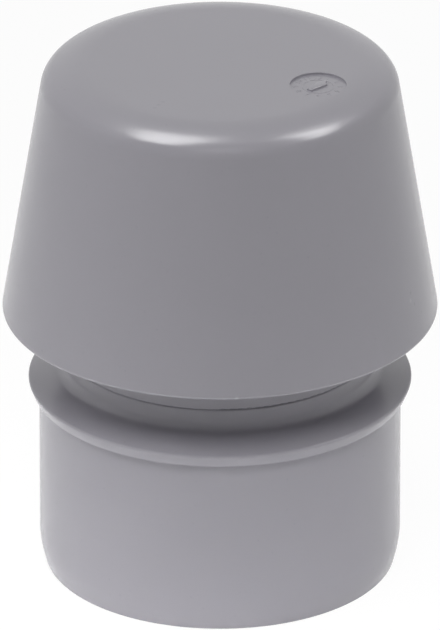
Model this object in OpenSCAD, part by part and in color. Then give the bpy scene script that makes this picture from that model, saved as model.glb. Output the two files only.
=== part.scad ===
// Air admittance valve for a 50 mm waste pipe.
// A hooded vent that lets air into a drain when the pressure inside it falls, and keeps
// drain air in at all other times. Air enters under the rim of the cap, rises through the
// screen into a ring-shaped inlet, lifts the membrane off its two seats and goes down the bore.
// Millimetres, +Z up. The origin is on the axis, at the lower end of the spigot.

/* [Spigot] */
// Outside diameter of the spigot that goes into the pipe socket
spigot_d = 50; // [40:0.5:75]
// Length of the spigot below the flange
spigot_len = 25.7; // [18:0.1:40]
// Wall thickness of the spigot
spigot_wall = 3; // [2:0.1:4]
// Height of the lead-in chamfer at the lower end
lead_in_h = 3.1; // [1:0.1:6]
// How far the lead-in chamfer takes in the radius
lead_in_w = 0.8; // [0.3:0.05:1.8]

/* [Flange and neck] */
// How far the flange stands out from the spigot
flange_lip = 1.6; // [0.8:0.05:4]
// Thickness of the flange at its rim
flange_t = 1.8; // [1.2:0.1:4]
// How far the rim of the flange draws in towards its lower edge
flange_draft = 0.75; // [0.2:0.05:1]
// How far the top of the flange climbs from its rim to the neck
flange_rise = 1.8; // [0.5:0.1:3]
// Rounding of the upper edge of the flange rim
flange_edge_r = 0.35; // [0.1:0.05:0.6]
// How far the neck is set in from the outside of the spigot
neck_inset = 3.3; // [3:0.1:5]
// Height of the neck between the flange and the joint line
neck_h = 3.15; // [2:0.05:6]
// Fillet at the foot of the neck, where it flares into the flange
neck_fillet_r = 1.7; // [0.3:0.1:2]
// Length of the stub that goes into the valve housing
stub_len = 8; // [5:0.2:10]
// Wall thickness of the stub
stub_wall = 2.2; // [1.6:0.1:2.8]

/* [Valve housing] */
// How far the collar of the housing stands out from the neck
collar_lip = 0.3; // [0.2:0.05:1]
// Wall thickness of the collar round the stub
collar_wall = 1.8; // [1.4:0.1:2.2]
// How far the bore steps in above the stub
bore_step = 0.9; // [0.4:0.1:1.5]
// Wall thickness of the tube under the inner seat
tube_wall = 1.6; // [1.2:0.1:2]
// Width of the flat on each seat
seat_w = 0.9; // [0.5:0.05:1.2]
// Height of the raised lip that carries each seat
seat_lip_h = 0.8; // [0.4:0.1:1.2]
// How far the membrane reaches past each seat
seat_cover = 0.55; // [0.3:0.05:0.8]
// Height of the casing ring, from its lower edge to the seats
casing_h = 7.2; // [6.4:0.1:9]
// Wall thickness of the casing ring
casing_wall = 2.8; // [2.4:0.1:3.2]
// Thickness of the web that carries the outer seat
web_t = 1.4; // [1:0.1:2]
// Number of ribs between the tube and the casing ring
rib_count = 8; // [4:1:12]
// Thickness of the ribs
rib_t = 1.4; // [1:0.1:2]

/* [Cap] */
// How far the rim of the cap stands out from the spigot
cap_overhang = 5.1; // [4.8:0.1:8]
// Height of the air gap between the rim of the flange and the rim of the cap
cap_gap = 10.3; // [8:0.1:14]
// Height of the cap
cap_h = 36.8; // [32:0.1:50]
// Taper of the cap, from the vertical
cap_taper = 9.25; // [6:0.25:11]
// Wall thickness of the cap
cap_wall = 1.8; // [1.4:0.1:2.4]
// Thickness of the top of the cap
cap_top_t = 2; // [1.5:0.1:3]
// Radius of the shoulder between the side and the crown
cap_shoulder_r = 2.8; // [1.5:0.1:4]
// Radius of the crown that runs into the flat top
cap_crown_r = 12; // [8:0.5:16]
// Slope at which the shoulder meets the crown
cap_crown_slope = 25; // [15:1:30]
// Rounding of the rim of the cap
cap_rim_r = 0.4; // [0.1:0.05:0.6]
// Height of the lower edge of the casing ring above the rim of the cap
casing_rise = 1.9; // [1.8:0.1:4]
// Number of stop ribs and of gussets inside the cap
cap_rib_count = 6; // [4:1:8]
// Thickness of the stop ribs and gussets
cap_rib_t = 1.2; // [0.8:0.1:1.8]
// How far the stop ribs stand in from the wall
stop_rib_w = 0.8; // [0.5:0.1:1]
// Number of snap beads that hold the cap on the casing ring
snap_count = 4; // [3:1:6]
// Angle that each snap bead spans
snap_angle = 24; // [12:1:40]
// How far each snap bead stands in from the wall
snap_w = 0.9; // [0.5:0.05:1.2]

/* [Date mark] */
// Diameter of the sunk disc of the moulding date mark
date_d = 7.8; // [5:0.1:10]
// Depth of the sunk disc
date_depth = 0.3; // [0.1:0.05:0.5]
// Distance of the date mark from the axis
date_offset = 15; // [10:0.1:15.5]
// Direction of the date mark, from +X
date_angle = -26.5; // [-180:0.5:180]
// Direction of the pointer in the date mark, from +X
date_pointer_angle = 49; // [0:1:360]
// Length of the pointer
date_pointer_len = 3.8; // [2:0.1:5]
// Width of the shaft of the pointer
date_pointer_w = 0.8; // [0.4:0.05:1]
// Length of the head of the pointer, which is as far across to each side
date_pointer_head = 0.8; // [0.5:0.05:1.2]

/* [Membrane and carrier] */
// How far the membrane lifts when it is fully open
lift = 5; // [3:0.1:6]
// Thickness of the membrane under the carrier
membrane_t = 1.2; // [0.8:0.1:1.6]
// Thickness of the rims that wrap round the carrier
membrane_rim_t = 0.75; // [0.5:0.05:1]
// How far the upper rim of the membrane reaches over the carrier
membrane_grip_w = 1.3; // [0.8:0.1:1.8]
// Gap between the open membrane and the stop ribs of the cap
membrane_play = 0.6; // [0.4:0.1:1]
// Thickness of the carrier ring
carrier_t = 1.5; // [1.2:0.1:2]
// Number of spokes in the carrier
spoke_count = 4; // [3:1:6]
// Width of the spokes
spoke_w = 2.2; // [1.6:0.1:3]
// Height of the stiffening fin on each spoke
spoke_fin_h = 1; // [0.5:0.1:1.4]
// Radius of the hub of the carrier
hub_r = 4.2; // [3.6:0.1:5]
// Height of the hub above the carrier ring
hub_h = 1.5; // [1.4:0.1:2.5]
// Radius of the guide stem
stem_r = 2.4; // [2:0.1:3]
// Thickness of the fins that make up the cross-shaped stem
stem_fin_t = 1.4; // [1:0.1:1.8]
// Wall thickness of the guide tube in the cap
guide_wall = 2; // [1.4:0.1:2.4]
// Height of the gussets that brace the guide tube
gusset_h = 7; // [4:0.1:9]

/* [Screen and seal] */
// Thickness of the insect screen
screen_t = 1.2; // [0.8:0.1:1.6]
// Width of the two frame rings of the screen
screen_frame_w = 0.6; // [0.4:0.05:0.8]
// Number of slots in the screen
screen_slots = 60; // [40:2:72]
// Thickness of the bars between the slots
screen_bar_t = 0.8; // [0.6:0.05:1]
// Thickness of the sealing ring between the housing and the cap
seal_d = 1.6; // [1.2:0.05:1.8]

/* [Hidden] */
$fn = 96;
// Clearances of the glued joint, the taper of the cap, the pressed screen and the guide
glue_fit = 0.1;
cap_fit = 0.15;
screen_fit = 0.05;
guide_fit = 0.15;
// Clearance on each side of the sealing ring, and above and below it
seal_play = 0.03;
seal_side_play = 0.1;
// Room past the ends of travel: carrier hub to guide tube, stem to ceiling
stop_play = 0.3;
tip_play = 1;
// Room between the snap beads and the casing ring, and between stub and socket end
snap_play = 0.1;
socket_play = 0.2;
// Play between the membrane and its carrier, and beside each spoke
carrier_play = 0.05;
notch_play = 0.2;
// How far a feature is sunk into the wall that it grows from
root = 0.4;
// Small roundings of moulded edges
edge_r = 0.3;
// Length of straight slope left between the shoulder and the crown of the cap
crown_straight = 0.1;
// How far an arc bites into the lines that it joins, and how far past a corner its chip reaches
arc_bite = 0.001;
chip_reach = 0.1;
// How far a cutting body reaches past what it cuts
cut_over = 1;
// Height of the collar above the socket and the screen
collar_cover = 0.4;

// Heights, from the foot of the spigot upwards
z_flange_bottom = spigot_len;
z_flange_edge = z_flange_bottom + flange_t;
z_flange_top = z_flange_edge + flange_rise;
z_joint = z_flange_top + neck_h;
z_stub_top = z_joint + stub_len;
z_socket_end = z_stub_top + socket_play;
z_rim = z_flange_edge + cap_gap;
z_top = z_rim + cap_h;
z_ceiling = z_top - cap_top_t;
z_casing_bottom = z_rim + casing_rise;
z_seat = z_casing_bottom + casing_h;
z_casing_top = z_seat - seat_lip_h;
z_web_bottom = z_casing_top - web_t;
z_screen_top = z_casing_bottom + screen_t;
z_carrier = z_seat + membrane_t + carrier_play;
z_carrier_top = z_carrier + carrier_t;
z_membrane_top = z_carrier_top + carrier_play + membrane_rim_t;
z_hub_top = z_carrier_top + hub_h;
z_stem_top = z_ceiling - lift - tip_play;
z_guide_bottom = z_hub_top + lift + stop_play;

// Radii of the spigot and the neck
spigot_r = spigot_d / 2;
spigot_bore_r = spigot_r - spigot_wall;
flange_r = spigot_r + flange_lip;
neck_r = spigot_r - neck_inset;
collar_r = neck_r + collar_lip;
socket_r = collar_r - collar_wall;
stub_r = socket_r - glue_fit;
stub_bore_r = stub_r - stub_wall;

// Radii of the cap, which tapers with height: outside, inside and across the stop ribs
rim_r = spigot_r + cap_overhang;
cap_wall_r = cap_wall / cos(cap_taper);
function cap_r(z) = rim_r - (z - z_rim) * tan(cap_taper);
function cap_in_r(z) = cap_r(z) - cap_wall_r;
function stop_r(z) = cap_in_r(z) - stop_rib_w;

// Radii of the housing: the casing ring follows the taper of the cap
function casing_r(z) = cap_in_r(z) - cap_fit;
function casing_in_r(z) = casing_r(z) - casing_wall;
bore_r = stub_bore_r - bore_step;
tube_r = bore_r + tube_wall;
z_collar_top = max(z_socket_end, z_screen_top) + collar_cover;
z_funnel_top = z_collar_top + collar_r - tube_r;

// Radii of the membrane and its carrier: the open membrane clears the stop ribs
membrane_r = stop_r(z_membrane_top + lift) - membrane_play;
membrane_in_r = bore_r - seat_cover;
outer_seat_r = membrane_r - seat_cover;
inlet_r = outer_seat_r - seat_w;
carrier_r = membrane_r - membrane_rim_t - carrier_play;
carrier_in_r = membrane_in_r + membrane_rim_t + carrier_play;
guide_bore_r = stem_r + guide_fit;
guide_r = guide_bore_r + guide_wall;

// Sealing ring in the groove of the casing ring, halfway up the ring
z_seal = (z_casing_bottom + z_web_bottom) / 2;
groove_r = casing_r(z_seal) + cap_fit - seal_d - 2 * seal_play / cos(cap_taper);
groove_half_h = seal_d / 2 + seal_side_play;

// Slope between the side of the cap and its flat top, drawn as two rounded corners
crown_run = cap_crown_r * tan(cap_crown_slope / 2);
shoulder_run = cap_shoulder_r * tan((90 - cap_taper - cap_crown_slope) / 2);
slope_len = crown_run + shoulder_run + crown_straight;
z_shoulder = z_top - slope_len * sin(cap_crown_slope);
crown_corner_r = cap_r(z_shoulder) - slope_len * cos(cap_crown_slope);

// Outlines with true arcs: each corner is [r, z, rounding], listed anticlockwise

function unit(v) = v / norm(v);
function point(c) = [c[0], c[1]];
function rounding(c) = len(c) > 2 ? c[2] : 0;
function before(cs, i) = point(cs[(i + len(cs) - 1) % len(cs)]);
function after(cs, i) = point(cs[(i + 1) % len(cs)]);
function to_before(cs, i) = unit(before(cs, i) - point(cs[i]));
function to_after(cs, i) = unit(after(cs, i) - point(cs[i]));
function half_angle(cs, i) = acos(to_before(cs, i) * to_after(cs, i)) / 2;
function tangent_run(cs, i) = rounding(cs[i]) / tan(half_angle(cs, i));
function arc_start(cs, i) = point(cs[i]) + to_before(cs, i) * tangent_run(cs, i);
function arc_end(cs, i) = point(cs[i]) + to_after(cs, i) * tangent_run(cs, i);
function bisector(cs, i) = unit(to_before(cs, i) + to_after(cs, i));
function arc_centre(cs, i) =
    point(cs[i]) + bisector(cs, i) * rounding(cs[i]) / sin(half_angle(cs, i));
function turns_left(cs, i) = cross(-to_before(cs, i), to_after(cs, i)) > 0;

// What lies between a sharp corner and its arc, taken a little past the corner.
// The arc bites into both straight lines by a hair, so that they cross and do not only touch.
module corner_chip(cs, i) {
    r = rounding(cs[i]);
    outward = -bisector(cs, i);
    past_corner = point(cs[i]) + outward * chip_reach;
    difference() {
        polygon(
            turns_left(cs, i)
            ? [arc_start(cs, i), past_corner, arc_end(cs, i)]
            : [arc_end(cs, i), past_corner, arc_start(cs, i)]
        );
        translate(arc_centre(cs, i) + outward * arc_bite) circle(r = r);
    }
}

// Outer corners lose their chip and inner corners are filled with it
module outline(cs) {
    difference() {
        union() {
            polygon([for (c = cs) point(c)]);
            for (i = [0 : len(cs) - 1])
                if (rounding(cs[i]) > 0 && !turns_left(cs, i)) corner_chip(cs, i);
        }
        for (i = [0 : len(cs) - 1])
            if (rounding(cs[i]) > 0 && turns_left(cs, i)) corner_chip(cs, i);
    }
}

module turned(cs) {
    rotate_extrude() outline(cs);
}

// Flat plate of thickness t that stands in a plane through the axis, at each of n angles
module plates(points, t, n, first = 0) {
    for (i = [0 : n - 1])
        rotate([90, 0, first + i * 360 / n])
            linear_extrude(height = t, center = true) polygon(points);
}

// Spigot, flange, neck and stub, moulded in one piece
module spigot() {
    color("darkgray") turned([
        [spigot_bore_r, 0],
        [spigot_r - lead_in_w, 0, edge_r],
        [spigot_r, lead_in_h],
        [spigot_r, z_flange_bottom, edge_r],
        [flange_r - flange_draft, z_flange_bottom, edge_r],
        [flange_r, z_flange_edge, flange_edge_r],
        [neck_r, z_flange_top, neck_fillet_r],
        [neck_r, z_joint],
        [stub_r, z_joint],
        [stub_r, z_stub_top, edge_r],
        [stub_bore_r, z_stub_top],
        [stub_bore_r, z_flange_bottom, edge_r],
        [spigot_bore_r, z_flange_bottom - (spigot_bore_r - stub_bore_r) / 2, edge_r]
    ]);
}

// Tube of the housing: collar over the stub, funnel and inner seat
module seat_tube() {
    turned([
        [socket_r, z_joint],
        [collar_r, z_joint, edge_r],
        [collar_r, z_collar_top],
        [tube_r, z_funnel_top],
        [tube_r, z_seat - seat_lip_h],
        [bore_r + seat_w, z_seat],
        [bore_r, z_seat],
        [bore_r, z_socket_end + socket_r - bore_r],
        [socket_r, z_socket_end]
    ]);
}

// Casing ring with its seal groove, and the web that carries the outer seat
module casing_ring() {
    groove_bottom = z_seal - groove_half_h;
    groove_top = z_seal + groove_half_h;
    turned([
        [casing_in_r(z_casing_bottom), z_casing_bottom],
        [casing_r(z_casing_bottom), z_casing_bottom, edge_r],
        [casing_r(groove_bottom), groove_bottom],
        [groove_r, groove_bottom],
        [groove_r, groove_top],
        [casing_r(groove_top), groove_top],
        [casing_r(z_casing_top), z_casing_top],
        [outer_seat_r + seat_lip_h, z_casing_top],
        [outer_seat_r, z_seat],
        [inlet_r, z_seat],
        [inlet_r, z_web_bottom],
        [casing_in_r(z_web_bottom), z_web_bottom]
    ]);
}

// Ribs across the inlet, from the funnel to the casing ring and the underside of the web
module inlet_ribs() {
    plates([
        [collar_r - root, z_screen_top],
        [casing_in_r(z_screen_top) + root, z_screen_top],
        [casing_in_r(z_web_bottom) + root, z_web_bottom + root],
        [inlet_r + root, z_web_bottom + root],
        [inlet_r + root, z_web_bottom],
        [tube_r - root, z_web_bottom],
        [tube_r - root, z_funnel_top],
        [collar_r - root, z_collar_top]
    ], rib_t, rib_count);
}

// Valve housing, moulded in one piece
module valve_housing() {
    color("darkgray") union() {
        seat_tube();
        casing_ring();
        inlet_ribs();
    }
}

// Slotted ring that closes the lower mouth of the inlet to insects
module insect_screen() {
    frame_in_r = collar_r + screen_fit;
    frame_r = casing_in_r(z_screen_top) - screen_fit;
    slot_in_r = frame_in_r + screen_frame_w;
    slot_out_r = frame_r - screen_frame_w;
    slot_w = 2 * PI * slot_in_r / screen_slots - screen_bar_t;
    color("dimgray") difference() {
        turned([
            [frame_in_r, z_casing_bottom],
            [frame_r, z_casing_bottom],
            [frame_r, z_screen_top],
            [frame_in_r, z_screen_top]
        ]);
        for (i = [0 : screen_slots - 1])
            rotate((i + 0.5) * 360 / screen_slots)
                translate([slot_in_r, -slot_w / 2, z_casing_bottom - cut_over])
                    cube([slot_out_r - slot_in_r, slot_w, screen_t + 2 * cut_over]);
    }
}

// Round sealing ring in the groove of the casing ring
module cap_seal() {
    color("black") rotate_extrude()
        translate([groove_r + seal_play + seal_d / 2, z_seal]) circle(d = seal_d);
}

// Conical hood: side, shoulder, crown and flat top
module cap_shell() {
    turned([
        [cap_in_r(z_rim), z_rim, cap_rim_r],
        [rim_r, z_rim, cap_rim_r],
        [cap_r(z_shoulder), z_shoulder, cap_shoulder_r],
        [crown_corner_r, z_top, cap_crown_r],
        [0, z_top],
        [0, z_ceiling],
        [cap_in_r(z_ceiling), z_ceiling, cap_shoulder_r]
    ]);
}

// Tube under the top of the cap that guides the stem of the carrier, with its gussets
module stem_guide() {
    turned([
        [guide_bore_r, z_guide_bottom],
        [guide_r, z_guide_bottom, edge_r],
        [guide_r, z_ceiling + root],
        [guide_bore_r, z_ceiling + root]
    ]);
    plates([
        [guide_r - root, z_ceiling - gusset_h],
        [cap_in_r(z_ceiling) - cap_shoulder_r, z_ceiling],
        [cap_in_r(z_ceiling) - cap_shoulder_r, z_ceiling + root],
        [guide_r - root, z_ceiling + root]
    ], cap_rib_t, cap_rib_count);
}

// Ribs inside the cap that stop it on the top of the casing ring and keep the membrane central
module stop_ribs() {
    z_end = z_ceiling - cap_shoulder_r;
    plates([
        [stop_r(z_casing_top), z_casing_top],
        [cap_in_r(z_casing_top) + root, z_casing_top],
        [cap_in_r(z_end) + root, z_end],
        [stop_r(z_end), z_end]
    ], cap_rib_t, cap_rib_count);
}

// Wedge-shaped beads that snap under the casing ring
module snap_beads() {
    z_bead = z_casing_bottom - snap_play;
    z_bead_end = z_rim + cap_rim_r;
    for (i = [0 : snap_count - 1])
        rotate(i * 360 / snap_count - snap_angle / 2)
            rotate_extrude(angle = snap_angle) polygon([
                [cap_in_r(z_bead) - snap_w, z_bead],
                [cap_in_r(z_bead_end) + root, z_bead_end],
                [cap_in_r(z_bead) + root, z_bead]
            ]);
}

// Sunk disc with a raised pointer, as a moulding date insert leaves
module date_mark() {
    tip = date_pointer_len / 2;
    neck = tip - date_pointer_head;
    shaft = date_pointer_w / 2;
    rotate(date_angle) translate([date_offset, 0, z_top - date_depth])
        rotate(date_pointer_angle - date_angle) difference() {
            cylinder(d = date_d, h = date_depth + cut_over);
            linear_extrude(height = date_depth) polygon([
                [-tip, -shaft],
                [neck, -shaft],
                [neck, -date_pointer_head],
                [tip, 0],
                [neck, date_pointer_head],
                [neck, shaft],
                [-tip, shaft]
            ]);
        }
}

// Cap, moulded in one piece
module cap() {
    color("darkgray") difference() {
        union() {
            cap_shell();
            stem_guide();
            stop_ribs();
            snap_beads();
        }
        date_mark();
    }
}

// Rubber ring that closes the inlet, stretched over the carrier; its inner rim is
// notched where the spokes pass
module membrane() {
    z_sheet = z_seat + membrane_t;
    inner_rim_r = carrier_in_r - carrier_play;
    color("black") difference() {
        turned([
            [membrane_in_r, z_seat],
            [membrane_r, z_seat],
            [membrane_r, z_membrane_top, edge_r],
            [carrier_r - membrane_grip_w, z_membrane_top],
            [carrier_r - membrane_grip_w, z_carrier_top + carrier_play],
            [carrier_r + carrier_play, z_carrier_top + carrier_play],
            [carrier_r + carrier_play, z_sheet],
            [inner_rim_r, z_sheet],
            [inner_rim_r, z_carrier_top],
            [membrane_in_r, z_carrier_top]
        ]);
        plates([
            [membrane_in_r - root, z_sheet], [inner_rim_r + root, z_sheet],
            [inner_rim_r + root, z_carrier_top + root], [membrane_in_r - root, z_carrier_top + root]
        ], spoke_w + 2 * notch_play, spoke_count);
    }
}

// Open wheel that carries the membrane: ring, spokes with fins, hub and stem
module membrane_carrier() {
    spoke_end = carrier_in_r + root;
    color("white") union() {
        turned([
            [carrier_in_r, z_carrier],
            [carrier_r, z_carrier],
            [carrier_r, z_carrier_top],
            [carrier_in_r, z_carrier_top]
        ]);
        plates([
            [0, z_carrier], [spoke_end, z_carrier],
            [spoke_end, z_carrier_top], [0, z_carrier_top]
        ], spoke_w, spoke_count);
        plates([
            [0, z_carrier_top - root], [spoke_end, z_carrier_top - root],
            [spoke_end, z_carrier_top], [hub_r, z_carrier_top + spoke_fin_h],
            [0, z_carrier_top + spoke_fin_h]
        ], spoke_w / 2, spoke_count);
        translate([0, 0, z_carrier]) cylinder(r = hub_r, h = z_hub_top - z_carrier);
        intersection() {
            translate([0, 0, z_hub_top - root])
                cylinder(r = stem_r, h = z_stem_top - z_hub_top + root);
            union() {
                for (turn = [0, 90])
                    rotate(turn) translate([-stem_r, -stem_fin_t / 2, z_hub_top - root])
                        cube([2 * stem_r, stem_fin_t, z_stem_top - z_hub_top + root]);
            }
        }
    }
}

spigot();
valve_housing();
insect_screen();
cap_seal();
cap();
membrane();
membrane_carrier();
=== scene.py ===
"""Looks of a grey air admittance valve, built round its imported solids.

Lengths in the classes are millimetres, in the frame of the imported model: +Z up along the
axis, the spigot's lower end at z = 0, the viewer towards -Y. Meshes go to metres last.
"""

import logging
import math
from collections.abc import Sequence
from dataclasses import dataclass, replace
from enum import Enum
from typing import ClassVar

import bmesh
import bpy
from bmesh.types import BMesh, BMFace, BMVert
from bpy.types import Collection, Material, Mesh, Node, NodeTree, Object
from mathutils import Matrix, Vector


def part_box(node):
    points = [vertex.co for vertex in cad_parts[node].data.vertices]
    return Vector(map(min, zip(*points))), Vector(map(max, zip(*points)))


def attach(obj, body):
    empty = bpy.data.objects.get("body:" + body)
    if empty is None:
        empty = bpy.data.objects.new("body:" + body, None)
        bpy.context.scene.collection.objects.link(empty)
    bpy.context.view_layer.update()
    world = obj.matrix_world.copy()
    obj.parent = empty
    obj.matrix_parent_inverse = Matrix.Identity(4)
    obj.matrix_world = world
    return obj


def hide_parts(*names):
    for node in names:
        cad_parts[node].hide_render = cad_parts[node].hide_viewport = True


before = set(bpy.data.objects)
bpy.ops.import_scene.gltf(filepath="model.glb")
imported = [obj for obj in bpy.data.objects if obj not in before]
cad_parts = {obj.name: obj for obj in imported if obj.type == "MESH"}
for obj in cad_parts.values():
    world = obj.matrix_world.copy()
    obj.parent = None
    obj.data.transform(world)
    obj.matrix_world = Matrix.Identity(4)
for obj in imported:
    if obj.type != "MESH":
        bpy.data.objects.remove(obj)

LOG = logging.getLogger("valve")
MM = 0.001
FULL_TURN = 2.0 * math.pi
UP = Vector((0.0, 0.0, 1.0))
VALVE_BODY = "valve_body"
Colour = tuple[float, float, float]
Place = tuple[float, float, float]
WHITE = (1.0, 1.0, 1.0, 1.0)


class Join(Enum):
    """Ways to combine two closed meshes."""

    ADD = "UNION"
    CUT = "DIFFERENCE"


class Glow(Enum):
    """What a lamp does: light the valve, show in it as a highlight, or light the floor alone."""

    SHADE = "shade"
    SHINE = "shine"
    FLOOR = "floor"


class Smoothness(Enum):
    """How finely round shapes are drawn, in steps for a full turn."""

    TURNED = 256
    SMALL = 64


class Fineness(Enum):
    """How much finer noise lies on top of a pattern, in octaves."""

    PLAIN = 0.0
    GRAINED = 1.0
    PATCHY = 2.0
    CLOUDED = 3.0


# Finishes


class NodeBench:
    """Short-hand for wiring the nodes of one material."""

    def __init__(self, name: str) -> None:
        """Starts an empty node material.

        Args:
            name: name of the new material.
        """
        self.material: Material = bpy.data.materials.new(name)
        self.material.use_nodes = True
        self.tree: NodeTree = self.material.node_tree
        self.tree.nodes.clear()

    def add(self, kind: str, **settings: object) -> Node:
        """Adds a node.

        Args:
            kind: the node's type name.
            settings: properties to set on it.

        Returns:
            The new node.
        """
        node = self.tree.nodes.new(kind)
        for key, value in settings.items():
            setattr(node, key, value)
        return node

    def link(self, source: Node, output: str | int, target: Node, socket: str | int) -> None:
        """Joins an output of one node to an input of another.

        Args:
            source: node that gives the value.
            output: name or number of its output.
            target: node that takes the value.
            socket: name or number of its input.
        """
        self.tree.links.new(source.outputs[output], target.inputs[socket])

    def noise(self, place: Node, size_mm: float, fineness: Fineness) -> Node:
        """Adds a noise texture on Object coordinates.

        Args:
            place: the texture coordinate node.
            size_mm: size of one blotch of the noise.
            fineness: how much finer noise lies on top.

        Returns:
            The noise node.
        """
        node = self.add("ShaderNodeTexNoise")
        node.inputs["Scale"].default_value = 1.0 / (size_mm * MM)
        node.inputs["Detail"].default_value = fineness.value
        self.link(place, "Object", node, "Vector")
        return node


@dataclass(frozen=True)
class Mark:
    """A small round blemish on a moulding.

    Attributes:
        place: its middle, in millimetres.
        radius_mm: radius at which it has faded out.
        tone: how much lighter (above 1) or darker the middle is.
    """

    place: Place
    radius_mm: float
    tone: float


@dataclass(frozen=True)
class MouldedFinish:
    """Moulded plastic or rubber: a slightly clouded colour, uneven gloss and a fine grain.

    Attributes:
        name: name of the material.
        colour: linear colour of the moulding.
        roughness: mean roughness of the surface.
        cloud: share by which the colour drifts lighter and darker.
        cloud_mm: size of the clouds left by the flow of the melt.
        gloss_drift: how far the roughness wanders up and down.
        gloss_mm: size of the patches of even gloss.
        grain_mm: size of the moulding grain.
        grain_height_mm: height of the moulding grain.
        speck: share by which the rare specks darken the colour.
        speck_mm: size of the noise that the specks come from.
        speck_start: level of that noise at which a speck begins.
        speck_full: level at which it is at its darkest.
        marks: small blemishes of this one moulding.
    """

    name: str
    colour: Colour
    roughness: float
    cloud: float = 0.02
    cloud_mm: float = 14.0
    gloss_drift: float = 0.04
    gloss_mm: float = 5.0
    grain_mm: float = 0.35
    grain_height_mm: float = 0.004
    speck: float = 0.05
    speck_mm: float = 0.5
    speck_start: float = 0.78
    speck_full: float = 0.9
    marks: tuple[Mark, ...] = ()

    def shade(self, factor: float) -> tuple[float, float, float, float]:
        """Returns the colour made lighter or darker by a factor, with full alpha."""
        red, green, blue = (min(1.0, part * factor) for part in self.colour)
        return (red, green, blue, 1.0)

    def make(self) -> Material:
        """Builds the node material.

        Returns:
            The finished material.
        """
        bench = NodeBench(self.name)
        place = bench.add("ShaderNodeTexCoord")
        surface = bench.add("ShaderNodeBsdfPrincipled")
        output = bench.add("ShaderNodeOutputMaterial")
        bench.link(surface, "BSDF", output, "Surface")
        self._colour(bench, place, surface)
        self._gloss(bench, place, surface)
        self._grain(bench, place, surface)
        return bench.material

    def _colour(self, bench: NodeBench, place: Node, surface: Node) -> None:
        """Wires the clouded, faintly specked colour.

        Args:
            bench: the material under way.
            place: the texture coordinate node.
            surface: the shader that takes the colour.
        """
        clouds = bench.noise(place, self.cloud_mm, Fineness.CLOUDED)
        drift = bench.add("ShaderNodeMix", data_type="RGBA")
        drift.inputs["A"].default_value = self.shade(1.0 - self.cloud)
        drift.inputs["B"].default_value = self.shade(1.0 + self.cloud)
        bench.link(clouds, "Fac", drift, "Factor")
        specks = bench.noise(place, self.speck_mm, Fineness.PLAIN)
        rare = bench.add("ShaderNodeMapRange")
        rare.inputs["From Min"].default_value = self.speck_start
        rare.inputs["From Max"].default_value = self.speck_full
        bench.link(specks, "Fac", rare, "Value")
        colour = bench.add("ShaderNodeMix", data_type="RGBA")
        colour.inputs["B"].default_value = self.shade(1.0 - self.speck)
        bench.link(rare, "Result", colour, "Factor")
        bench.link(drift, "Result", colour, "A")
        for mark in self.marks:
            colour = self._mark(bench, place, colour, mark)
        bench.link(colour, "Result", surface, "Base Color")

    def _mark(self, bench: NodeBench, place: Node, under: Node, mark: Mark) -> Node:
        """Wires one blemish over the colour so far.

        Args:
            bench: the material under way.
            place: the texture coordinate node.
            under: the node that gives the colour so far.
            mark: the blemish.

        Returns:
            The node that gives the colour with the blemish.
        """
        away = bench.add("ShaderNodeVectorMath", operation="DISTANCE")
        away.inputs[1].default_value = [part * MM for part in mark.place]
        bench.link(place, "Object", away, 0)
        fade = bench.add("ShaderNodeMapRange", interpolation_type="SMOOTHSTEP")
        fade.inputs["From Max"].default_value = mark.radius_mm * MM
        fade.inputs["To Min"].default_value = 1.0
        fade.inputs["To Max"].default_value = 0.0
        bench.link(away, "Value", fade, "Value")
        colour = bench.add("ShaderNodeMix", data_type="RGBA")
        colour.inputs["B"].default_value = self.shade(mark.tone)
        bench.link(fade, "Result", colour, "Factor")
        bench.link(under, "Result", colour, "A")
        return colour

    def _gloss(self, bench: NodeBench, place: Node, surface: Node) -> None:
        """Wires the roughness, which wanders a little over the surface.

        Args:
            bench: the material under way.
            place: the texture coordinate node.
            surface: the shader that takes the roughness.
        """
        patches = bench.noise(place, self.gloss_mm, Fineness.PATCHY)
        span = bench.add("ShaderNodeMapRange")
        span.inputs["To Min"].default_value = self.roughness - self.gloss_drift
        span.inputs["To Max"].default_value = self.roughness + self.gloss_drift
        bench.link(patches, "Fac", span, "Value")
        bench.link(span, "Result", surface, "Roughness")

    def _grain(self, bench: NodeBench, place: Node, surface: Node) -> None:
        """Wires the fine grain of the mould as bump.

        Args:
            bench: the material under way.
            place: the texture coordinate node.
            surface: the shader that takes the normal.
        """
        grain = bench.noise(place, self.grain_mm, Fineness.GRAINED)
        bump = bench.add("ShaderNodeBump")
        bump.inputs["Distance"].default_value = self.grain_height_mm * MM
        bench.link(grain, "Fac", bump, "Height")
        bench.link(bump, "Normal", surface, "Normal")


GREY_PLASTIC = MouldedFinish("grey_moulded_plastic", (0.335, 0.325, 0.36), roughness=0.22)
CAP_PLASTIC = replace(
    GREY_PLASTIC,
    name="grey_cap_plastic",
    marks=(
        Mark((-8.9, -14.2, 74.6), 0.5, 0.94),
        Mark((-8.4, -13.3, 74.6), 0.5, 0.92),
        Mark((-7.8, -12.3, 74.6), 0.5, 0.94),
        Mark((26.05, -12.5, 44.6), 0.5, 1.15),
        Mark((26.05, -12.1, 45.6), 0.4, 0.85),
        Mark((26.6, -11.65, 43.7), 0.4, 0.85),
        Mark((2.3, -29.9, 38.1), 0.45, 1.3),
    ),
)
DARK_PLASTIC = MouldedFinish("dark_moulded_plastic", (0.06, 0.06, 0.066), roughness=0.45)
WHITE_PLASTIC = MouldedFinish("white_moulded_plastic", (0.74, 0.74, 0.71), roughness=0.35)
BLACK_RUBBER = MouldedFinish(
    "black_membrane_rubber", (0.022, 0.022, 0.024), roughness=0.6, grain_height_mm=0.012
)


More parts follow.
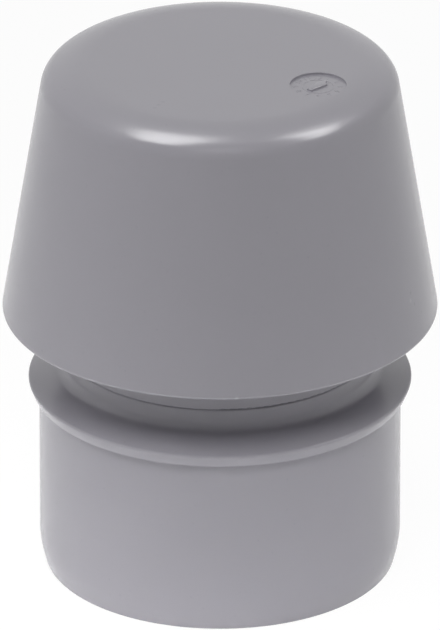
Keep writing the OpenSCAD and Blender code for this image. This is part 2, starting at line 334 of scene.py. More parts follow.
class Dressing:
    """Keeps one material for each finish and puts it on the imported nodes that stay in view."""

    _made: ClassVar[dict[str, Material]] = {}

    @classmethod
    def material(cls, finish: MouldedFinish) -> Material:
        """Looks up the material of a finish, which is made on first use.

        Args:
            finish: the finish.

        Returns:
            Its material.
        """
        if finish.name not in cls._made:
            cls._made[finish.name] = finish.make()
        return cls._made[finish.name]

    @classmethod
    def node(cls, name: str, finish: MouldedFinish) -> Object:
        """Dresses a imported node.

        Args:
            name: the node's name.
            finish: its finish.

        Returns:
            The node's object.
        """
        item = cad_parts[name]
        for slot in item.material_slots:
            slot.material = cls.material(finish)
        return item


# Mesh tools


@dataclass(frozen=True)
class Corner:
    """One corner of an outline: distance from the axis, height and rounding radius."""

    r: float
    z: float
    rounding: float = 0.0

    @property
    def point(self) -> Vector:
        """The sharp corner, in the XZ plane."""
        return Vector((self.r, 0.0, self.z))


@dataclass(frozen=True)
class Outline:
    """A chain of corners in the XZ plane, with true arcs at the rounded ones.

    Attributes:
        corners: the corners in order.
        closed: True for a ring's section, False for a chain from axis to axis.
        chord_error: how far the straight pieces of an arc may leave the true arc.
        LEAST_STEPS: fewest straight pieces of an arc.
    """

    corners: Sequence[Corner]
    closed: bool = True
    chord_error: float = 0.003

    LEAST_STEPS: ClassVar[int] = 3

    @property
    def reach(self) -> float:
        """The largest radius of the outline, with its roundings."""
        return max(self._corner_reach(index) for index in range(len(self.corners)))

    def _corner_reach(self, index: int) -> float:
        """Works out how far one corner reaches from the axis.

        Args:
            index: number of the corner.

        Returns:
            The largest radius of the corner, with its rounding.
        """
        corner = self.corners[index]
        if not corner.rounding:
            return corner.r
        start, centre, end = self._rounded(index)
        if min(start.z, end.z) < centre.z < max(start.z, end.z):
            return centre.x + corner.rounding
        return max(start.x, end.x)

    def _rounded(self, index: int) -> tuple[Vector, Vector, Vector]:
        """Works out the arc of one corner.

        Args:
            index: number of the corner.

        Returns:
            The arc's start, its centre and its end.
        """
        corner = self.corners[index]
        back = (self.corners[index - 1].point - corner.point).normalized()
        on = (self.corners[(index + 1) % len(self.corners)].point - corner.point).normalized()
        half = back.angle(on) / 2.0
        run = corner.rounding / math.tan(half)
        inward = (back + on).normalized() * (corner.rounding / math.sin(half))
        return corner.point + back * run, corner.point + inward, corner.point + on * run

    def draw(self, mesh: BMesh) -> None:
        """Draws the outline as a wire.

        Args:
            mesh: the empty bmesh to draw in.
        """
        pen: BMVert | None = None
        for index in range(len(self.corners)):
            pen = self._corner(mesh, pen, index)
        if self.closed:
            mesh.verts.ensure_lookup_table()
            bmesh.ops.contextual_create(mesh, geom=[pen, mesh.verts[0]])

    def _corner(self, mesh: BMesh, pen: BMVert | None, index: int) -> BMVert:
        """Draws up to one corner and round it.

        Args:
            mesh: the bmesh to draw in.
            pen: end of the wire so far, or None at the start.
            index: number of the corner.

        Returns:
            The new end of the wire.
        """
        corner = self.corners[index]
        if not corner.rounding:
            return self._line(mesh, pen, corner.point)
        start, centre, end = self._rounded(index)
        return self._arc(mesh, self._line(mesh, pen, start), centre, end)

    @staticmethod
    def _line(mesh: BMesh, pen: BMVert | None, point: Vector) -> BMVert:
        """Draws a straight line from the pen to a point, or sets the pen down there.

        Args:
            mesh: the bmesh to draw in.
            pen: end of the wire so far, or None at the start.
            point: where the line ends.

        Returns:
            The new end of the wire.
        """
        if pen is None:
            return bmesh.ops.create_vert(mesh, co=point)["vert"][0]
        pen = bmesh.ops.extrude_vert_indiv(mesh, verts=[pen])["verts"][0]
        pen.co = point
        return pen

    def _arc(self, mesh: BMesh, pen: BMVert, centre: Vector, end: Vector) -> BMVert:
        """Spins the pen round a centre.

        Args:
            mesh: the bmesh to draw in.
            pen: end of the wire, at the start of the arc.
            centre: centre of the arc.
            end: end of the arc.

        Returns:
            The last vertex of the arc.
        """
        first, last = pen.co - centre, end - centre
        axis = first.cross(last).normalized()
        sweep = first.angle(last)
        step = 2.0 * math.acos(max(0.0, 1.0 - self.chord_error / first.length))
        steps = max(self.LEAST_STEPS, math.ceil(sweep / step))
        spun = bmesh.ops.spin(mesh, geom=[pen], cent=centre, axis=axis, angle=sweep, steps=steps)
        return next(item for item in spun["geom_last"] if isinstance(item, BMVert))


class MeshBench:
    """Makes meshes in millimetres and hands them over as objects in metres.

    Attributes:
        SHARP_DEG: angle between two faces from which their edge is drawn sharp.
        WELD_MM: distance within which vertices are one.
    """

    SHARP_DEG: ClassVar[float] = 30.0
    WELD_MM: ClassVar[float] = 0.0005

    @classmethod
    def turned(cls, outline: Outline, smoothness: Smoothness = Smoothness.TURNED) -> BMesh:
        """Turns an outline about the axis.

        Args:
            outline: section of the turned shape.
            smoothness: how finely the turn is drawn.

        Returns:
            A closed bmesh with its faces outwards.
        """
        mesh = bmesh.new()
        outline.draw(mesh)
        wire = [*mesh.verts, *mesh.edges]
        steps = smoothness.value
        bmesh.ops.spin(mesh, geom=wire, axis=UP, angle=FULL_TURN, steps=steps, use_merge=True)
        bmesh.ops.remove_doubles(mesh, verts=mesh.verts, dist=cls.WELD_MM)
        bmesh.ops.recalc_face_normals(mesh, faces=mesh.faces)
        return mesh

    @staticmethod
    def face(mesh: BMesh, points: Sequence[Vector]) -> BMFace:
        """Adds one flat face.

        Args:
            mesh: the bmesh to add to.
            points: its corners in order.

        Returns:
            The new face.
        """
        ring = [bmesh.ops.create_vert(mesh, co=point)["vert"][0] for point in points]
        return bmesh.ops.contextual_create(mesh, geom=ring)["faces"][0]

    @staticmethod
    def thicken(mesh: BMesh, face: BMFace, way: Vector) -> list[BMVert]:
        """Gives a flat face a thickness.

        Args:
            mesh: the bmesh that holds the face.
            face: the face.
            way: where the far side lies from it.

        Returns:
            The vertices of the far side.
        """
        grown = bmesh.ops.extrude_face_region(mesh, geom=[face], use_keep_orig=True)
        far = [item for item in grown["geom"] if isinstance(item, BMVert)]
        bmesh.ops.translate(mesh, verts=far, vec=way)
        return far

    @classmethod
    def plates(cls, outline: Sequence[Corner], thickness: float, count: int) -> BMesh:
        """Stands equal plates in planes through the axis.

        Args:
            outline: corners of one plate, in the XZ plane.
            thickness: thickness of the plates.
            count: number of plates round the axis.

        Returns:
            A bmesh of closed plates.
        """
        mesh = bmesh.new()
        first = [corner.point + Vector((0.0, -thickness / 2.0, 0.0)) for corner in outline]
        cls.thicken(mesh, cls.face(mesh, first), Vector((0.0, thickness, 0.0)))
        cls.repeat(mesh, count)
        return mesh

    @staticmethod
    def repeat(mesh: BMesh, count: int) -> None:
        """Copies all of a mesh evenly round the axis.

        Args:
            mesh: the bmesh that holds the first copy.
            count: number of copies in the end, the first one among them.
        """
        whole = [*mesh.verts, *mesh.edges, *mesh.faces]
        turn = FULL_TURN * (count - 1) / count
        bmesh.ops.spin(mesh, geom=whole, axis=UP, angle=turn, steps=count - 1, use_duplicate=True)
        bmesh.ops.recalc_face_normals(mesh, faces=mesh.faces)

    @staticmethod
    def gather(whole: BMesh, part: BMesh) -> None:
        """Moves one bmesh into another.

        Args:
            whole: the bmesh that grows.
            part: the bmesh that is used up.
        """
        data = bpy.data.meshes.new("part")
        part.to_mesh(data)
        part.free()
        whole.from_mesh(data)
        bpy.data.meshes.remove(data)

    @staticmethod
    def to_object(mesh: BMesh, name: str) -> Object:
        """Moves a bmesh into a new object, still in millimetres.

        Args:
            mesh: the bmesh, which is freed.
            name: name of the object.

        Returns:
            The new object, linked to the scene.
        """
        data = bpy.data.meshes.new(name)
        mesh.to_mesh(data)
        mesh.free()
        item = bpy.data.objects.new(name, data)
        bpy.context.scene.collection.objects.link(item)
        return item

    @staticmethod
    def join(target: Object, tool: Object, how: Join) -> None:
        """Combines a closed mesh with another, which is used up.

        Args:
            target: the object that stays.
            tool: the object to add to it or to cut from it.
            how: whether to add or to cut.
        """
        work = target.modifiers.new(how.name.lower(), "BOOLEAN")
        work.operation = how.value
        work.solver = "EXACT"
        work.object = tool
        graph = bpy.context.evaluated_depsgraph_get()
        joined = bpy.data.meshes.new_from_object(target.evaluated_get(graph))
        target.modifiers.clear()
        old: Mesh = target.data
        target.data = joined
        bpy.data.meshes.remove(old)
        bpy.data.objects.remove(tool)
        joined.name = target.name

    @classmethod
    def finish(cls, item: Object, finish: MouldedFinish) -> Object:
        """Takes a grey piece to metres, shades it, dresses it and rides it on the valve's body.

        Args:
            item: the piece, in millimetres.
            finish: its finish.

        Returns:
            The finished piece.
        """
        mesh = bmesh.new()
        mesh.from_mesh(item.data)
        bmesh.ops.remove_doubles(mesh, verts=mesh.verts, dist=cls.WELD_MM)
        for face in mesh.faces:
            face.smooth = True
        for edge in mesh.edges:
            edge.smooth = edge.calc_face_angle(math.pi) < math.radians(cls.SHARP_DEG)
        bmesh.ops.scale(mesh, vec=(MM, MM, MM), verts=mesh.verts)
        mesh.to_mesh(item.data)
        mesh.free()
        item.data.materials.clear()
        item.data.materials.append(Dressing.material(finish))
        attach(item, VALVE_BODY)
        return item


# Pieces


@dataclass(frozen=True)
class DateDial:
    """Sunk moulding date dial on top of the cap: month ring, figures and a raised pointer.

    Attributes:
        x: place of the dial, to the right of the axis.
        y: place of the dial, away from the viewer.
        radius: radius of the sunk disc.
        depth: depth of the sunk disc.
        ring_r: radius of the raised ring between the figures and the pointer.
        ring_w: width of that ring.
        relief: height of the ring and figures above the disc.
        figure_h: height of the figures 1 to 12.
        figure_r: radius of the circle of figures.
        pointer_len: length of the pointer.
        pointer_w: width of the pointer's shaft.
        pointer_head: half width of the pointer's head.
        pointer_relief: height of the pointer above the disc.
        pointer_edge: rounding of the pointer's upper edges and corners.
        pointer_deg: direction of the pointer, from +X.
        months: number of figures.
        RING_SOFTNESS: rounding of the ring's edges, as a share of its height.
        FIGURE_SHARE: height of a figure, as a share of its font's size.
        FIGURE_STEPS: straight pieces of each curve of a figure.
        EDGE_STEPS: flat steps of the pointer's rounded edges.
    """

    x: float = 13.42
    y: float = -6.69
    radius: float = 3.9
    depth: float = 0.3
    ring_r: float = 2.15
    ring_w: float = 0.16
    relief: float = 0.025
    figure_h: float = 0.85
    figure_r: float = 3.0
    pointer_len: float = 3.8
    pointer_w: float = 0.8
    pointer_head: float = 0.8
    pointer_relief: float = 0.3
    pointer_edge: float = 0.12
    pointer_deg: float = 49.0
    months: int = 12

    RING_SOFTNESS: ClassVar[float] = 1.0 / 3.0
    FIGURE_SHARE: ClassVar[float] = 0.7
    FIGURE_STEPS: ClassVar[int] = 4
    EDGE_STEPS: ClassVar[int] = 3

    def place(self, z: float) -> Matrix:
        """Returns the matrix that takes the dial's own frame to its place at a height."""
        return Matrix.Translation((self.x, self.y, z))

    def pocket(self, z_top: float) -> Object:
        """Makes the tool that cuts the sunk disc.

        Args:
            z_top: height of the cap's top.

        Returns:
            A closed cylinder that stands out above the top.
        """
        mesh = bmesh.new()
        bmesh.ops.create_cone(
            mesh,
            cap_ends=True,
            segments=Smoothness.SMALL.value,
            radius1=self.radius,
            radius2=self.radius,
            depth=2.0 * self.depth,
            matrix=self.place(z_top),
        )
        return MeshBench.to_object(mesh, "date_pocket")

    def build(self, z_top: float) -> list[Object]:
        """Builds the raised figures, ring and pointer on the sunk disc.

        Args:
            z_top: height of the cap's top.

        Returns:
            The finished pieces.
        """
        z_floor = z_top - self.depth
        parts = [self._ring(z_floor), self._pointer(z_floor), self._figures(z_floor)]
        return [MeshBench.finish(part, GREY_PLASTIC) for part in parts]

    def _ring(self, z_floor: float) -> Object:
        """Turns the ring between figures and pointer.

        Args:
            z_floor: height of the sunk disc.

        Returns:
            The ring, in millimetres.
        """
        inner = self.ring_r - self.ring_w / 2.0
        outer = self.ring_r + self.ring_w / 2.0
        soft = self.relief * self.RING_SOFTNESS
        section = Outline(
            [
                Corner(inner, 0.0),
                Corner(outer, 0.0),
                Corner(outer, self.relief, soft),
                Corner(inner, self.relief, soft),
            ]
        )
        mesh = MeshBench.turned(section, Smoothness.SMALL)
        bmesh.ops.transform(mesh, matrix=self.place(z_floor), verts=mesh.verts)
        return MeshBench.to_object(mesh, "date_ring")

    def _pointer(self, z_floor: float) -> Object:
        """Extrudes the pointer.

        Args:
            z_floor: height of the sunk disc.

        Returns:
            The pointer, in millimetres.
        """
        tip = self.pointer_len / 2.0
        neck = tip - self.pointer_head
        half = self.pointer_w / 2.0
        upper = [(-tip, half), (neck, half), (neck, self.pointer_head)]
        lower = [(x, -y) for x, y in upper]
        mesh = bmesh.new()
        outline = [*lower, (tip, 0.0), *upper[::-1]]
        face = MeshBench.face(mesh, [Vector((*point, 0.0)) for point in outline])
        top = MeshBench.thicken(mesh, face, UP * self.pointer_relief)
        bmesh.ops.recalc_face_normals(mesh, faces=mesh.faces)
        bmesh.ops.bevel(
            mesh,
            geom=[edge for edge in mesh.edges if any(vert in top for vert in edge.verts)],
            offset=self.pointer_edge,
            segments=self.EDGE_STEPS,
            profile=0.5,
            affect="EDGES",
            material=-1,
        )
        turn = Matrix.Rotation(math.radians(self.pointer_deg), 4, "Z")
        bmesh.ops.transform(mesh, matrix=self.place(z_floor) @ turn, verts=mesh.verts)
        return MeshBench.to_object(mesh, "date_pointer")

    def _figures(self, z_floor: float) -> Object:
        """Sets the raised figures round the dial.

        Args:
            z_floor: height of the sunk disc.

        Returns:
            The figures as one piece, in millimetres.
        """
        mesh = bmesh.new()
        for month in range(1, self.months + 1):
            figure = self._figure(str(month))
            turn = Matrix.Rotation(-FULL_TURN * month / self.months, 4, "Z")
            out = Matrix.Translation((0.0, self.figure_r, 0.0))
            figure.transform(self.place(z_floor) @ turn @ out)
            mesh.from_mesh(figure)
            bpy.data.meshes.remove(figure)
        return MeshBench.to_object(mesh, "date_figures")

    def _figure(self, text: str) -> Mesh:
        """Makes one raised figure, centred on the origin.

        Args:
            text: the figure.

        Returns:
            Its mesh, in millimetres.
        """
        curve = bpy.data.curves.new("figure", "FONT")
        curve.body = text
        curve.size = self.figure_h / self.FIGURE_SHARE
        curve.align_x = "CENTER"
        curve.align_y = "CENTER"
        curve.extrude = self.relief
        curve.resolution_u = self.FIGURE_STEPS
        item = bpy.data.objects.new("figure", curve)
        bpy.context.scene.collection.objects.link(item)
        graph = bpy.context.evaluated_depsgraph_get()
        figure = bpy.data.meshes.new_from_object(item.evaluated_get(graph))
        bpy.data.objects.remove(item)
        bpy.data.curves.remove(curve)
        return figure


@dataclass(frozen=True)
class Cap:
    """Conical hood with its guide tube, gussets, stop ribs and snap beads.

    Attributes:
        rim_r: radius of the sharp rim corner.
        z_rim: height of the rim.
        z_top: height of the flat top.
        taper_deg: taper of the side, from the vertical.
        wall: wall thickness.
        top_wall: thickness of the top.
        shoulder: radius between the side and the crown.
        crown: radius that runs into the flat top.
        crown_slope_deg: slope at which the shoulder meets the crown.
        rim_rounding: rounding of the rim.
        guide_r: outer radius of the guide tube.
        guide_bore_r: bore of the guide tube.
        guide_len: length of the guide tube.
        rib_count: number of gussets and of stop ribs.
        rib_t: thickness of the gussets and stop ribs.
        gusset_h: height of the gussets.
        stop_rib_w: how far the stop ribs stand in from the wall.
        z_stop: height of the stop ribs' lower ends.
        snap_count: number of snap beads.
        snap_deg: angle that each bead spans.
        snap_steps: flat steps along each bead.
        snap_w: how far the beads stand in from the wall.
        snap_top: height of the top of the beads above the rim.
        root: how far ribs and beads are sunk into the wall.
        crown_straight: straight slope left between the shoulder and the crown.
        edge: rounding of small moulded edges.
    """

    rim_r: float
    z_rim: float
    z_top: float
    taper_deg: float = 9.25
    wall: float = 1.8
    top_wall: float = 2.0
    shoulder: float = 2.8
    crown: float = 12.0
    crown_slope_deg: float = 25.0
    rim_rounding: float = 0.55
    guide_r: float = 4.55
    guide_bore_r: float = 2.55
    guide_len: float = 16.15
    rib_count: int = 6
    rib_t: float = 1.2
    gusset_h: float = 7.0
    stop_rib_w: float = 0.8
    z_stop: float = 46.1
    snap_count: int = 4
    snap_deg: float = 24.0
    snap_steps: int = 16
    snap_w: float = 0.9
    snap_top: float = 1.8
    root: float = 0.4
    crown_straight: float = 0.1
    edge: float = 0.3

    @classmethod
    def from_frame(cls) -> "Cap":
        """Takes the cap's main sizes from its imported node.

        Returns:
            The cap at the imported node's place and size.
        """
        low, high = (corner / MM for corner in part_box("cap"))
        cap = cls(rim_r=high.x, z_rim=low.z, z_top=high.z)
        rounded_off = high.x - cap._section().reach
        return replace(cap, rim_r=high.x + rounded_off)

    @property
    def slope(self) -> float:
        """Radius that the side loses for each unit of height."""
        return math.tan(math.radians(self.taper_deg))

    @property
    def z_ceiling(self) -> float:
        """Height of the underside of the top."""
        return self.z_top - self.top_wall

    def outer_r(self, z: float) -> float:
        """Returns the radius of the outside at a height."""
        return self.rim_r - (z - self.z_rim) * self.slope

    def inner_r(self, z: float) -> float:
        """Returns the radius of the inside at a height."""
        return self.outer_r(z) - self.wall / math.cos(math.radians(self.taper_deg))

    def build(self, dial: DateDial) -> list[Object]:
        """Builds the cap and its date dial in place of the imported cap.

        Args:
            dial: the date dial to sink into the top.

        Returns:
            The finished pieces, the shell first.
        """
        shell = MeshBench.to_object(MeshBench.turned(self._section()), "cap_shell")
        inside = bmesh.new()
        for part in (self._gussets(), self._stop_ribs(), self._snap_beads()):
            MeshBench.gather(inside, part)
        MeshBench.join(shell, MeshBench.to_object(inside, "cap_ribs"), Join.ADD)
        MeshBench.join(shell, dial.pocket(self.z_top), Join.CUT)
        MeshBench.finish(shell, CAP_PLASTIC)
        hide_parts("cap")
        return [shell, *dial.build(self.z_top)]

    def _section(self) -> Outline:
        """Draws the section of the shell and guide tube.

        Returns:
            The open outline, from axis to axis.
        """
        lean = math.radians(self.crown_slope_deg)
        steep = math.radians(90.0 - self.taper_deg - self.crown_slope_deg)
        run = self.crown * math.tan(lean / 2.0) + self.shoulder * math.tan(steep / 2.0)
        run += self.crown_straight
        z_shoulder = self.z_top - run * math.sin(lean)
        crown_r = self.outer_r(z_shoulder) - run * math.cos(lean)
        z_guide = self.z_ceiling - self.guide_len
        soft = self.edge
        return Outline(
            [
                Corner(0.0, self.z_top),
                Corner(crown_r, self.z_top, self.crown),
                Corner(self.outer_r(z_shoulder), z_shoulder, self.shoulder),
                Corner(self.rim_r, self.z_rim, self.rim_rounding),
                Corner(self.inner_r(self.z_rim), self.z_rim, self.rim_rounding),
                Corner(self.inner_r(self.z_ceiling), self.z_ceiling, self.shoulder),
                Corner(self.guide_r, self.z_ceiling, soft),
                Corner(self.guide_r, z_guide, soft),
                Corner(self.guide_bore_r, z_guide, soft),
                Corner(self.guide_bore_r, self.z_ceiling),
                Corner(0.0, self.z_ceiling),
            ],
            closed=False,
        )

    def _gussets(self) -> BMesh:
        """Makes the gussets between the guide tube and the ceiling.

        Returns:
            The gussets, sunk into tube and ceiling.
        """
        inner = self.guide_r - self.root
        outer = self.inner_r(self.z_ceiling) - self.shoulder
        return MeshBench.plates(
            [
                Corner(inner, self.z_ceiling - self.gusset_h),
                Corner(outer, self.z_ceiling),
                Corner(outer, self.z_ceiling + self.root),
                Corner(inner, self.z_ceiling + self.root),
            ],
            self.rib_t,
            self.rib_count,
        )

    def _stop_ribs(self) -> BMesh:
        """Makes the ribs that stop the cap on the casing ring.

        Returns:
            The ribs, sunk into the wall.
        """
        z_end = self.z_ceiling - self.shoulder
        return MeshBench.plates(
            [
                Corner(self.inner_r(self.z_stop) - self.stop_rib_w, self.z_stop),
                Corner(self.inner_r(self.z_stop) + self.root, self.z_stop),
                Corner(self.inner_r(z_end) + self.root, z_end),
                Corner(self.inner_r(z_end) - self.stop_rib_w, z_end),
            ],
            self.rib_t,
            self.rib_count,
        )

    def _snap_beads(self) -> BMesh:
        """Makes the wedge-shaped beads that snap under the casing ring.

        Returns:
            The beads, sunk into the wall.
        """
        z_bead = self.z_rim + self.snap_top
        z_end = self.z_rim + self.rim_rounding
        span = math.radians(self.snap_deg)
        mesh = bmesh.new()
        MeshBench.face(
            mesh,
            [
                Vector((self.inner_r(z_bead) - self.snap_w, 0.0, z_bead)),
                Vector((self.inner_r(z_end) + self.root, 0.0, z_end)),
                Vector((self.inner_r(z_bead) + self.root, 0.0, z_bead)),
            ],
        )
        section = [*mesh.verts, *mesh.edges, *mesh.faces]
        bmesh.ops.rotate(mesh, verts=mesh.verts, matrix=Matrix.Rotation(-span / 2.0, 3, "Z"))
        bmesh.ops.spin(mesh, geom=section, axis=UP, angle=span, steps=self.snap_steps)
        MeshBench.repeat(mesh, self.snap_count)
        return mesh


@dataclass(frozen=True)
class Spigot:
    """Plain spigot with its flange, neck and stub, turned in one piece.

    Attributes:
        flange_r: radius of the sharp corner of the flange's rim.
        z_stub_top: height of the stub's end.
        radius: outer radius of the spigot.
        length: length of the spigot below the flange.
        wall: wall thickness.
        lead_in_h: height of the lead-in chamfer.
        lead_in_w: how far the lead-in takes in the radius.
        lead_in_blend: radius that runs the lead-in into the wall.
        flange_t: thickness of the flange at its rim.
        flange_draft: how far the rim draws in towards its lower edge.
        flange_rise: how far the flange's top climbs from its rim to the neck.
        flange_edge: rounding of the rim's upper edge.
        neck_r: radius of the neck.
        neck_h: height of the neck.
        neck_fillet: fillet at the foot of the neck.
        stub_r: outer radius of the stub.
        stub_wall: wall thickness of the stub.
        joint_edge: rounding of the neck's edge at the joint line.
        edge: rounding of small moulded edges.
    """

    flange_r: float
    z_stub_top: float
    radius: float = 25.0
    length: float = 25.7
    wall: float = 3.0
    lead_in_h: float = 3.1
    lead_in_w: float = 0.8
    lead_in_blend: float = 14.0
    flange_t: float = 1.8
    flange_draft: float = 0.75
    flange_rise: float = 1.8
    flange_edge: float = 0.35
    neck_r: float = 21.7
    neck_h: float = 3.15
    neck_fillet: float = 1.7
    stub_r: float = 20.1
    stub_wall: float = 2.2
    joint_edge: float = 0.45
    edge: float = 0.3

    @classmethod
    def from_frame(cls) -> "Spigot":
        """Takes the flange and the stub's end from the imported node.

        Returns:
            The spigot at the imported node's place and size.
        """
        _, high = (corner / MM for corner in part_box("spigot"))
        spigot = cls(flange_r=high.x, z_stub_top=high.z)
        rounded_off = high.x - spigot._section().reach
        return replace(spigot, flange_r=high.x + rounded_off)

    def build(self) -> Object:
        """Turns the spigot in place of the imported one.

        Returns:
            The finished piece.
        """
        item = MeshBench.to_object(MeshBench.turned(self._section()), "spigot_tube")
        MeshBench.finish(item, GREY_PLASTIC)
        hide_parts("spigot")
        return item

    def _section(self) -> Outline:
        """Draws the section of the wall.

        Returns:
            The closed outline.
        """
        bore_r = self.radius - self.wall
        stub_bore_r = self.stub_r - self.stub_wall
        z_flange_edge = self.length + self.flange_t
        z_flange_top = z_flange_edge + self.flange_rise
        z_joint = z_flange_top + self.neck_h
        return Outline(
            [
                Corner(bore_r, 0.0, self.edge),
                Corner(self.radius - self.lead_in_w, 0.0, self.edge),
                Corner(self.radius, self.lead_in_h, self.lead_in_blend),
                Corner(self.radius, self.length, self.edge),
                Corner(self.flange_r - self.flange_draft, self.length, self.edge),
                Corner(self.flange_r, z_flange_edge, self.flange_edge),
                Corner(self.neck_r, z_flange_top, self.neck_fillet),
                Corner(self.neck_r, z_joint, self.joint_edge),
                Corner(self.stub_r, z_joint),
                Corner(self.stub_r, self.z_stub_top, self.edge),
                Corner(stub_bore_r, self.z_stub_top, self.edge),
                Corner(stub_bore_r, self.length, self.edge),
                Corner(bore_r, self.length - (bore_r - stub_bore_r) / 2.0, self.edge),
            ]
        )


class InnerWorks:
    """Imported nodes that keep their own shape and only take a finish."""

    FINISHES: ClassVar[dict[str, MouldedFinish]] = {
        "valve_housing": GREY_PLASTIC,
        "insect_screen": DARK_PLASTIC,
        "cap_seal": BLACK_RUBBER,
        "membrane": BLACK_RUBBER,
        "membrane_carrier": WHITE_PLASTIC,
    }

    def dress(self) -> list[Object]:
        """Dresses each of the nodes and returns them."""
        return [Dressing.node(name, finish) for name, finish in self.FINISHES.items()]


# Studio


@dataclass(frozen=True)
class Softbox:
    """An area lamp: one that lights the valve faces it, the others hang level.

    Attributes:
        name: name of the lamp.
        place: its place, in metres.
        width: size across, in metres.
        depth: size the other way, in metres.
        radiance: brightness of its face.
        glow: what the lamp does.
        turn_deg: turn of a lamp that hangs level, about the vertical.
    """

    name: str
    place: Place
    width: float
    depth: float
    radiance: float
    glow: Glow
    turn_deg: float = 0.0

    def build(self, target: Vector, floor: Collection) -> None:
        """Adds the lamp.

        Args:
            target: the point that a lamp for the valve faces, in metres.
            floor: what a lamp for the floor lights, and all that can shade it.
        """
        lamp = bpy.data.lights.new(self.name, "AREA")
        lamp.shape = "RECTANGLE"
        lamp.size = self.width
        lamp.size_y = self.depth
        lamp.energy = self.radiance * math.pi * self.width * self.depth
        item = bpy.data.objects.new(self.name, lamp)
        item.location = self.place
        item.rotation_euler.z = math.radians(self.turn_deg)
        if self.glow is Glow.SHADE:
            item.rotation_euler = (item.location - target).to_track_quat("Z", "Y").to_euler()
        if self.glow is Glow.FLOOR:
            item.light_linking.receiver_collection = floor
            item.light_linking.blocker_collection = floor
        item.visible_diffuse = self.glow is not Glow.SHINE
        item.visible_glossy = self.glow is Glow.SHINE
        bpy.context.scene.collection.objects.link(item)


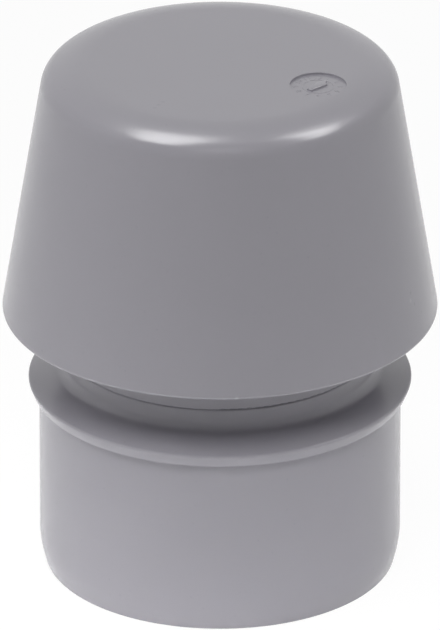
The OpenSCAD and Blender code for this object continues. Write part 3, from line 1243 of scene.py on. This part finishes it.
@dataclass(frozen=True)
class Studio:
    """Camera, lamps, world and floor.

    Attributes:
        elevation_deg: height of the camera above the horizon.
        distance_m: distance of the camera.
        aim_mm: height on the axis at the middle of the picture.
        picture_h_px: height of the picture, in pixels.
        scale_px_mm: pixels that one millimetre at the axis takes up.
        sensor_mm: long side of the camera's sensor.
        floor_tone: share of the light that the floor throws back.
        shadow: share of real light in the floor that the camera sees.
        floor_half_m: half the width of the floor.
        SOFTBOXES: the lamps.
    """

    elevation_deg: float = 25.635
    distance_m: float = 2.4
    aim_mm: float = 36.41
    picture_h_px: float = 630.0
    scale_px_mm: float = 7.241
    sensor_mm: float = 36.0
    floor_tone: float = 0.65
    shadow: float = 0.05
    floor_half_m: float = 1.5

    SOFTBOXES: ClassVar[tuple[Softbox, ...]] = (
        Softbox("key_front", (0.0, -0.75, 1.15), 0.6, 0.5, 8.9, Glow.SHADE),
        Softbox("key_left", (-1.0, -0.1, 1.0), 0.6, 0.6, 4.2, Glow.SHADE),
        Softbox("key_right", (1.0, 0.0, 1.0), 0.6, 0.6, 1.5, Glow.SHADE),
        Softbox("key_back", (0.0, 0.9, 1.0), 0.6, 0.6, 1.3, Glow.SHADE),
        Softbox("side_left", (-0.8, 0.1, 0.25), 0.6, 0.5, 1.1, Glow.SHADE),
        Softbox("side_right", (0.8, 0.1, 0.25), 0.6, 0.5, 1.1, Glow.SHADE),
        Softbox("shine_left", (-0.165, 0.05, 0.575), 0.17, 0.38, 10.0, Glow.SHINE, -27.0),
        Softbox("shine_right", (0.352, 0.07, 0.575), 0.18, 0.45, 9.5, Glow.SHINE, 45.0),
        Softbox("floor_glow", (-0.007, -0.01, 0.055), 0.08, 0.08, 9.6, Glow.FLOOR),
    )

    @property
    def aim(self) -> Vector:
        """The point in the middle of the picture, in metres."""
        return UP * (self.aim_mm * MM)

    def build(self) -> None:
        """Sets up the whole studio."""
        bpy.context.scene.view_settings.view_transform = "Standard"
        self._camera()
        self._world()
        floor = bpy.data.collections.new("floor_alone")
        floor.objects.link(self._floor())
        for softbox in self.SOFTBOXES:
            softbox.build(self.aim, floor)

    def _camera(self) -> None:
        """Sets the camera at the photograph's angle, with a long lens."""
        data = bpy.data.cameras.new("camera")
        data.sensor_width = self.sensor_mm
        seen_mm = self.picture_h_px / self.scale_px_mm
        data.lens = self.sensor_mm * self.distance_m / (seen_mm * MM)
        item = bpy.data.objects.new("camera", data)
        lift = math.radians(self.elevation_deg)
        away = Vector((0.0, -math.cos(lift), math.sin(lift)))
        item.location = self.aim + away * self.distance_m
        item.rotation_euler = away.to_track_quat("Z", "Y").to_euler()
        bpy.context.scene.collection.objects.link(item)
        bpy.context.scene.camera = item

    @staticmethod
    def _seen(tree: NodeTree) -> Node:
        """Adds a node that is 1 for camera, glossy and transmission rays.

        Args:
            tree: the node tree to add to.

        Returns:
            The node, with the answer as its first output.
        """
        path = tree.nodes.new("ShaderNodeLightPath")
        last = path.outputs["Is Camera Ray"]
        for ray in ("Is Glossy Ray", "Is Transmission Ray"):
            either = tree.nodes.new("ShaderNodeMath")
            either.operation = "MAXIMUM"
            tree.links.new(last, either.inputs[0])
            tree.links.new(path.outputs[ray], either.inputs[1])
            last = either.outputs[0]
        return last.node

    def _world(self) -> None:
        """Makes surroundings that are white to look at and in reflections."""
        world = bpy.data.worlds.new("pale_room")
        bpy.context.scene.world = world
        world.use_nodes = True
        sky = world.node_tree.nodes["Background"]
        sky.inputs["Color"].default_value = WHITE
        world.node_tree.links.new(self._seen(world.node_tree).outputs[0], sky.inputs["Strength"])

    def _floor(self) -> Object:
        """Lays the pale floor, which looks white and keeps a faint shadow.

        Returns:
            The floor.
        """
        mesh = bmesh.new()
        bmesh.ops.create_grid(mesh, x_segments=1, y_segments=1, size=self.floor_half_m)
        item = MeshBench.to_object(mesh, "floor")
        bench = NodeBench("white_floor")
        matt = bench.add("ShaderNodeBsdfDiffuse")
        matt.inputs["Color"].default_value = (self.floor_tone,) * 3 + (1.0,)
        glow = bench.add("ShaderNodeEmission")
        seen = bench.add("ShaderNodeMixShader")
        seen.inputs["Fac"].default_value = self.shadow
        bench.link(glow, 0, seen, 1)
        bench.link(matt, 0, seen, 2)
        mix = bench.add("ShaderNodeMixShader")
        bench.link(self._seen(bench.tree), 0, mix, "Fac")
        bench.link(matt, 0, mix, 1)
        bench.link(seen, 0, mix, 2)
        output = bench.add("ShaderNodeOutputMaterial")
        bench.link(mix, 0, output, "Surface")
        item.data.materials.append(bench.material)
        return item


def main() -> None:
    """Builds the studio and dresses the valve."""
    logging.basicConfig(level=logging.INFO, format="%(name)s %(message)s")
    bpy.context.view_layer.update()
    Studio().build()
    pieces = [
        Spigot.from_frame().build(),
        *Cap.from_frame().build(DateDial()),
        *InnerWorks().dress(),
    ]
    for piece in pieces:
        LOG.info("%s: %d faces in %s", piece.name, len(piece.data.polygons), piece.active_material.name)


if __name__ == "__main__":
    main()
